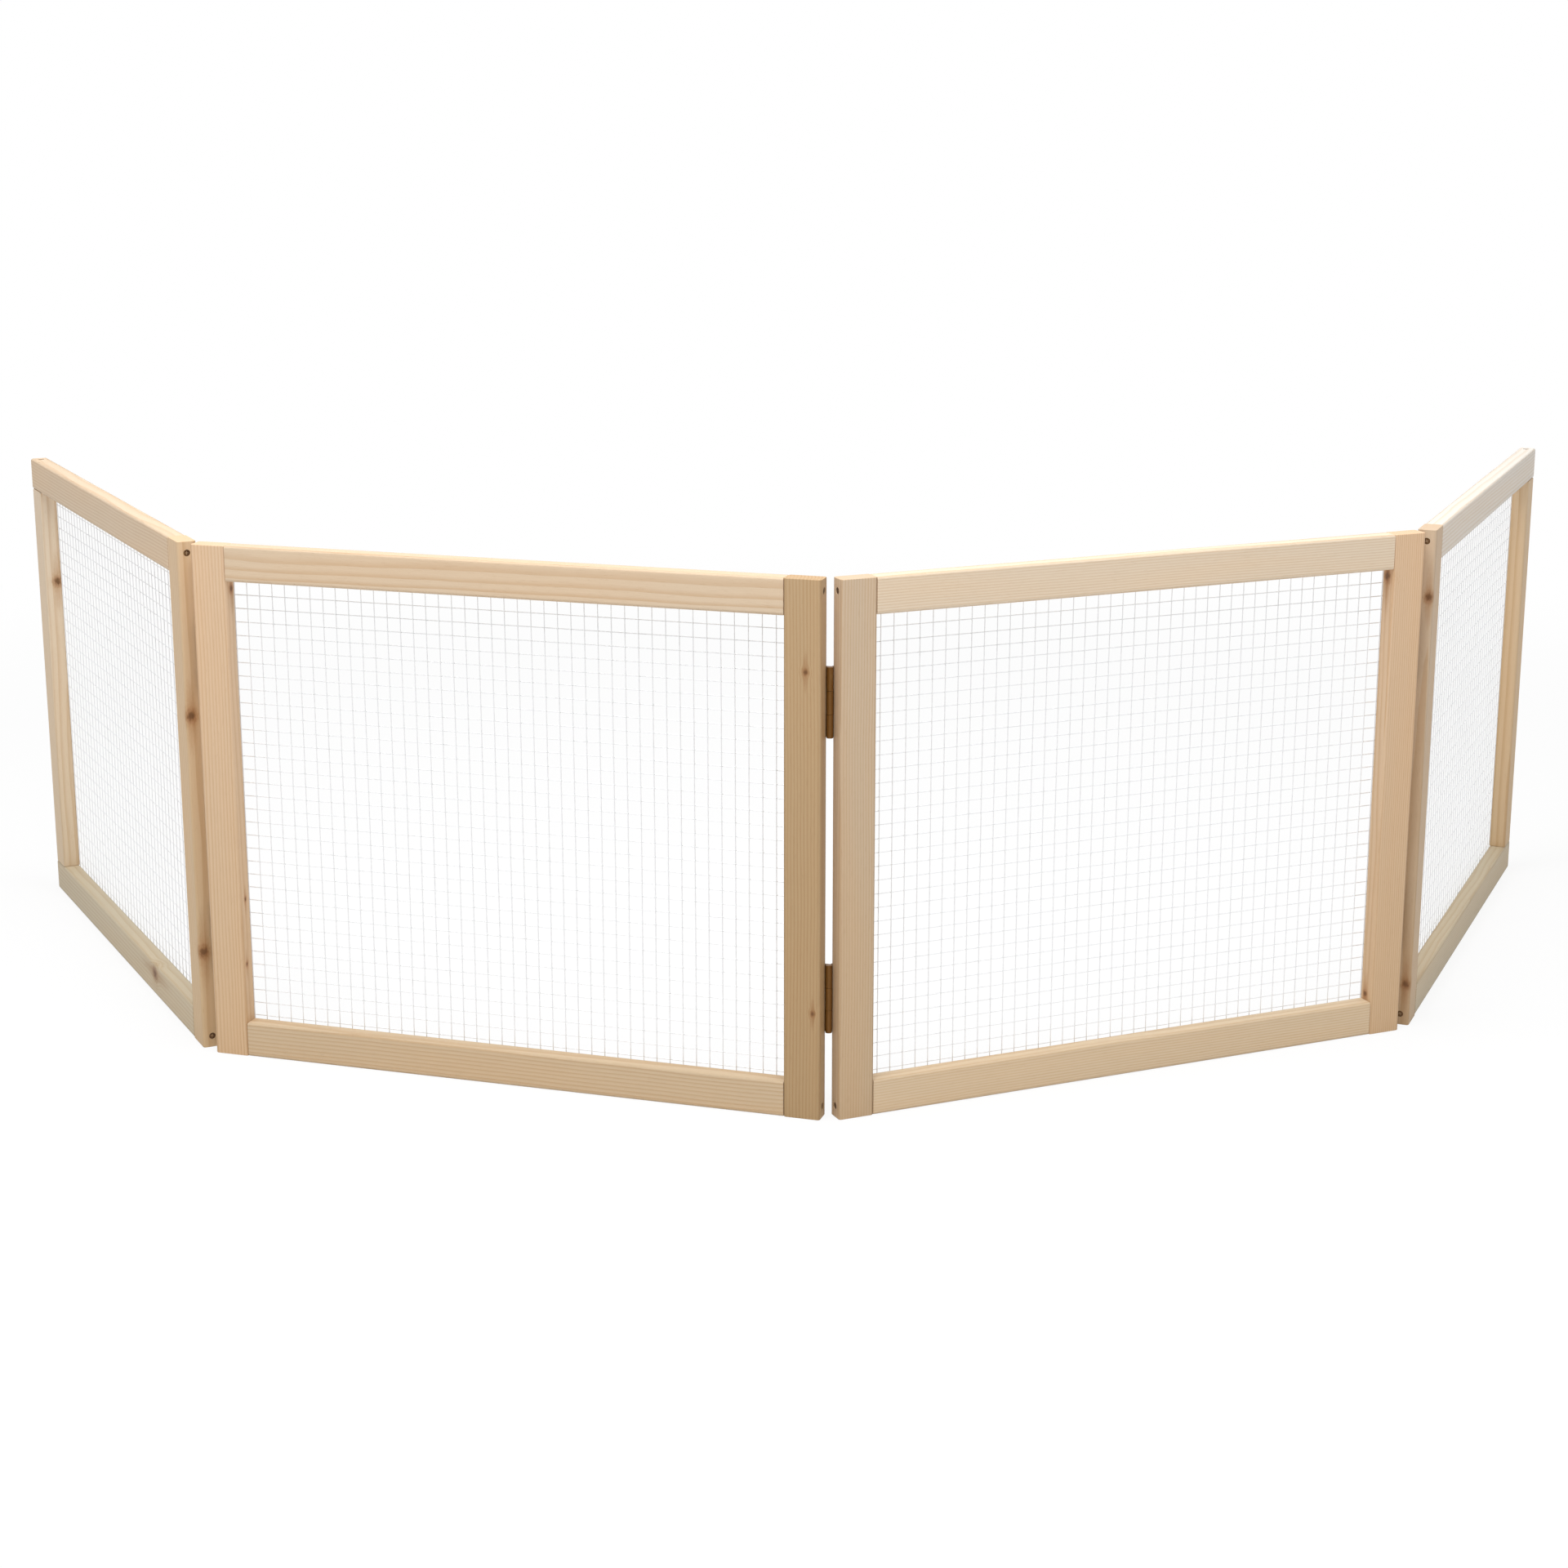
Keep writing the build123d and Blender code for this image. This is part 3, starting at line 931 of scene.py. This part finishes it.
class Screw:
    """A countersunk wood screw that points down -Z from its head face at Z = 0, with a cross recess."""

    def __init__(self, length, radius, head_radius):
        self.length = length
        self.radius = radius
        self.head_radius = head_radius

    def outline(self):
        """Radius and height along the screw, from the middle of the head to the tip."""
        rim = self.head_radius * 0.96
        return [
            (0.0, -HEAD_DISH),
            (rim - RIM_EASING, 0.0),
            (rim, -RIM_EASING / 2),
            (rim, -RIM_DEPTH),
            (self.radius, -(self.head_radius - self.radius)),
            (self.radius, -self.length * 0.85),
            (TIP_RADIUS, -self.length),
        ]

    def mesh(self):
        shape = bmesh.new()
        turns = [index * 2 * pi / SCREW_SIDES for index in range(SCREW_SIDES)]
        loops = []
        for radius, height in self.outline():
            points = [(radius * cos(turn), radius * sin(turn), height) for turn in turns]
            loops.append([shape.verts.new(point) for point in points])
        for upper, lower in zip(loops, loops[1:]):
            for index in range(SCREW_SIDES):
                following = (index + 1) % SCREW_SIDES
                shape.faces.new((upper[index], lower[index], lower[following], upper[following]))
        shape.faces.new(loops[-1][::-1])
        bmesh.ops.remove_doubles(shape, verts=shape.verts, dist=SAME_POINT)
        bmesh.ops.recalc_face_normals(shape, faces=shape.faces)
        return cut(mesh_from(shape, "screw"), self.recess())

    def recess(self):
        """The cross that a driver fits, tapering towards its bottom."""
        arm = self.head_radius * 0.62
        half_slot = self.head_radius * 0.13
        depth = self.head_radius * 0.55
        quarter = [(arm, -half_slot), (arm, half_slot), (half_slot, half_slot)]
        shape = bmesh.new()
        loops = []
        for height, taper in ((depth, 1.0), (-depth, 0.72)):
            loop = []
            for turn in range(4):
                for corner in quarter:
                    point = Matrix.Rotation(turn * pi / 2, 2) @ Vector(corner) * taper
                    loop.append(shape.verts.new((point.x, point.y, height)))
            loops.append(loop)
        upper, lower = loops
        for index, corner in enumerate(upper):
            following = (index + 1) % len(upper)
            shape.faces.new((corner, lower[index], lower[following], upper[following]))
        shape.faces.new(upper)
        shape.faces.new(lower[::-1])
        bmesh.ops.recalc_face_normals(shape, faces=shape.faces)
        return mesh_from(shape, "recess")


HINGE_SCREW = Screw(length=0.012, radius=0.0015, head_radius=0.003)
CORNER_SCREW = Screw(length=0.060, radius=0.0017, head_radius=0.0032)


def hinge_screw_places(panel):
    """Where a panel's hinge screws go, three to a leaf and two leaves to a hinged side."""
    places = []
    into_wood = Matrix.Rotation(-pi / 2, 4, "X")
    bottoms = (HINGE_END_DISTANCE - HINGE_LENGTH / 2, PANEL_HEIGHT - HINGE_END_DISTANCE - HINGE_LENGTH / 2)
    for side, pivot, inwards in (("left", LEFT_PIVOT, 1), ("right", RIGHT_PIVOT, -1)):
        if side == FREE_SIDES[panel]:
            continue
        for bottom in bottoms:
            for row, height in zip(HINGE_SCREW_ROWS, HINGE_SCREW_HEIGHTS):
                spot = pivot + Vector((inwards * row, KNUCKLE_RADIUS, bottom + height))
                places.append(Matrix.Translation(spot) @ into_wood)
    return places


def corner_screw_places(panel):
    """Where a panel's corner screws go, at the bottom of the boards' wells."""
    places = []
    for _, _, width, place, wells in board_places(panel):
        for along, side in wells:
            spot = Matrix.Translation((along, side * (width / 2 - CORNER_SCREW_SINK), 0.0))
            places.append(place @ spot @ Matrix.Rotation(-side * pi / 2, 4, "X"))
    return places


class PEN_OT_screws(bpy.types.Operator):
    """Adds the hinge screws and the corner screws"""

    bl_idname = "pen.screws"
    bl_label = "Screws"

    def execute(self, context):
        hardware = context.scene.pen_hardware
        chance = Random(SCREW_SEED)
        kinds = {
            "hinge_screws": (HINGE_SCREW, hinge_screw_places, "hinge_screw", hardware.bronze_colour),
            "corner_screws": (CORNER_SCREW, corner_screw_places, "dark_screw", hardware.screw_colour),
        }
        for kind, (screw, places_in, slot_name, colour) in kinds.items():
            finish = bronzed(slot_name, colour, hardware.rubbed_colour, SCREW_ROUGHNESS)
            template = screw.mesh()
            for panel, panel_place in panel_places.items():
                turned = []
                for place in places_in(panel):
                    turn = Matrix.Rotation(chance.uniform(0.0, pi), 4, "Z")
                    turned.append(panel_place @ place @ turn)
                node = f"{panel}_{kind}"
                mesh = mesh_from(copies(template, turned), node)
                shade(mesh)
                new_piece(f"{node}_driven", mesh, f"{panel}_panel", [node], finish)
        return {"FINISHED"}


def seen_by_eye(finish):
    """1 for what the camera sees, straight or in a reflection, and 0 for light on its way to the pen."""
    straight = finish.node("LightPath", output="Is Camera Ray")
    reflected = finish.node("LightPath", output="Is Glossy Ray")
    through_glass = finish.node("LightPath", output="Is Transmission Ray")
    return straight.largest(reflected).largest(through_glass)


def floor_finish(glow, clear_reach):
    """A pale matt floor that shows nearly white, keeps the pen's shadow and is plain white further off."""
    paper = Finish(bpy.data.materials.new("pale_floor"))
    place = paper.node("TexCoord", output="Object")
    far_off = paper.ease(paper.vector("LENGTH", place), clear_reach / 2, clear_reach)
    tone = paper.mix(paper.noise(place, (3.0, 3.0, 3.0)), *FLOOR_TONES)
    matt = paper.node("BsdfDiffuse", Color=tone)
    white = paper.node("Emission", Color=WHITE, Strength=1.0)
    whiteness = seen_by_eye(paper) * (glow + (1 - glow) * far_off)
    paper.node("OutputMaterial", Surface=paper.node("MixShader", values=(whiteness, matt, white)))
    return paper.owner


def soft_light(name, location, target, size, power):
    lamp = bpy.data.lights.new(name, "AREA")
    lamp.shape = "DISK"
    lamp.size = size
    lamp.energy = power
    light = bpy.data.objects.new(name, lamp)
    light.location = location
    light.rotation_euler = (Vector(target) - Vector(location)).to_track_quat("-Z", "Y").to_euler()
    bpy.context.scene.collection.objects.link(light)


class PEN_OT_stage(bpy.types.Operator):
    """Adds the floor, the light and the camera"""

    bl_idname = "pen.stage"
    bl_label = "Floor, Light and Camera"

    def execute(self, context):
        scene = context.scene
        stage = scene.pen_stage
        scene.view_settings.view_transform = "Standard"

        shape = bmesh.new()
        bmesh.ops.create_grid(shape, x_segments=1, y_segments=1, size=stage.floor_reach)
        floor = bpy.data.objects.new("floor", mesh_from(shape, "floor"))
        floor.data.materials.append(floor_finish(stage.floor_glow, stage.clear_reach))
        scene.collection.objects.link(floor)

        sky = Finish(bpy.data.worlds.new("studio"))
        eye = seen_by_eye(sky)
        strength = eye + (1 - eye) * stage.sky_strength
        sky.node("OutputWorld", Surface=sky.node("Background", Color=WHITE, Strength=strength))
        scene.world = sky.owner

        middle = (0.0, 0.0, PANEL_HEIGHT / 2)
        soft_light("key", stage.key_place, middle, stage.key_size, stage.key_power)

        camera = bpy.data.objects.new("camera", bpy.data.cameras.new("camera"))
        camera.data.lens = stage.focal_length
        camera.data.sensor_width = SENSOR_WIDTH_MM
        camera.location = pivots["centre_fold"] + Vector(stage.camera_reach)
        camera.rotation_euler = Euler((pi / 2 - stage.camera_pitch, 0.0, -stage.camera_yaw), "XYZ")
        scene.collection.objects.link(camera)
        scene.camera = camera
        return {"FINISHED"}


class PEN_PT_dressing(bpy.types.Panel):
    """Lists the pieces of the pen"""

    bl_idname = "PEN_PT_dressing"
    bl_label = "Folding Pen"
    bl_space_type = "VIEW_3D"
    bl_region_type = "UI"
    bl_category = "Pen"

    def draw(self, context):
        for operator in operators:
            self.layout.operator(operator.bl_idname)
        for group in settings_groups:
            box = self.layout.box()
            settings = getattr(context.scene, group)
            for name in settings.bl_rna.properties.keys():
                if name not in ("name", "rna_type"):
                    box.prop(settings, name)


operators = (PEN_OT_boards, PEN_OT_wire_mesh, PEN_OT_staples, PEN_OT_hinges, PEN_OT_screws, PEN_OT_stage)
settings_groups = {
    "pen_timber": TimberSettings,
    "pen_mesh": MeshSettings,
    "pen_hardware": HardwareSettings,
    "pen_stage": StageSettings,
}


def register():
    for kind in (*settings_groups.values(), *operators, PEN_PT_dressing):
        bpy.utils.register_class(kind)
    for name, group in settings_groups.items():
        setattr(bpy.types.Scene, name, PointerProperty(type=group))


def unregister():
    for name in settings_groups:
        delattr(bpy.types.Scene, name)
    for kind in (PEN_PT_dressing, *reversed(operators), *settings_groups.values()):
        bpy.utils.unregister_class(kind)


def main():
    register()
    bpy.ops.pen.boards()
    bpy.ops.pen.wire_mesh()
    bpy.ops.pen.staples()
    bpy.ops.pen.hinges()
    bpy.ops.pen.screws()
    bpy.ops.pen.stage()


if __name__ == "__main__":
    main()
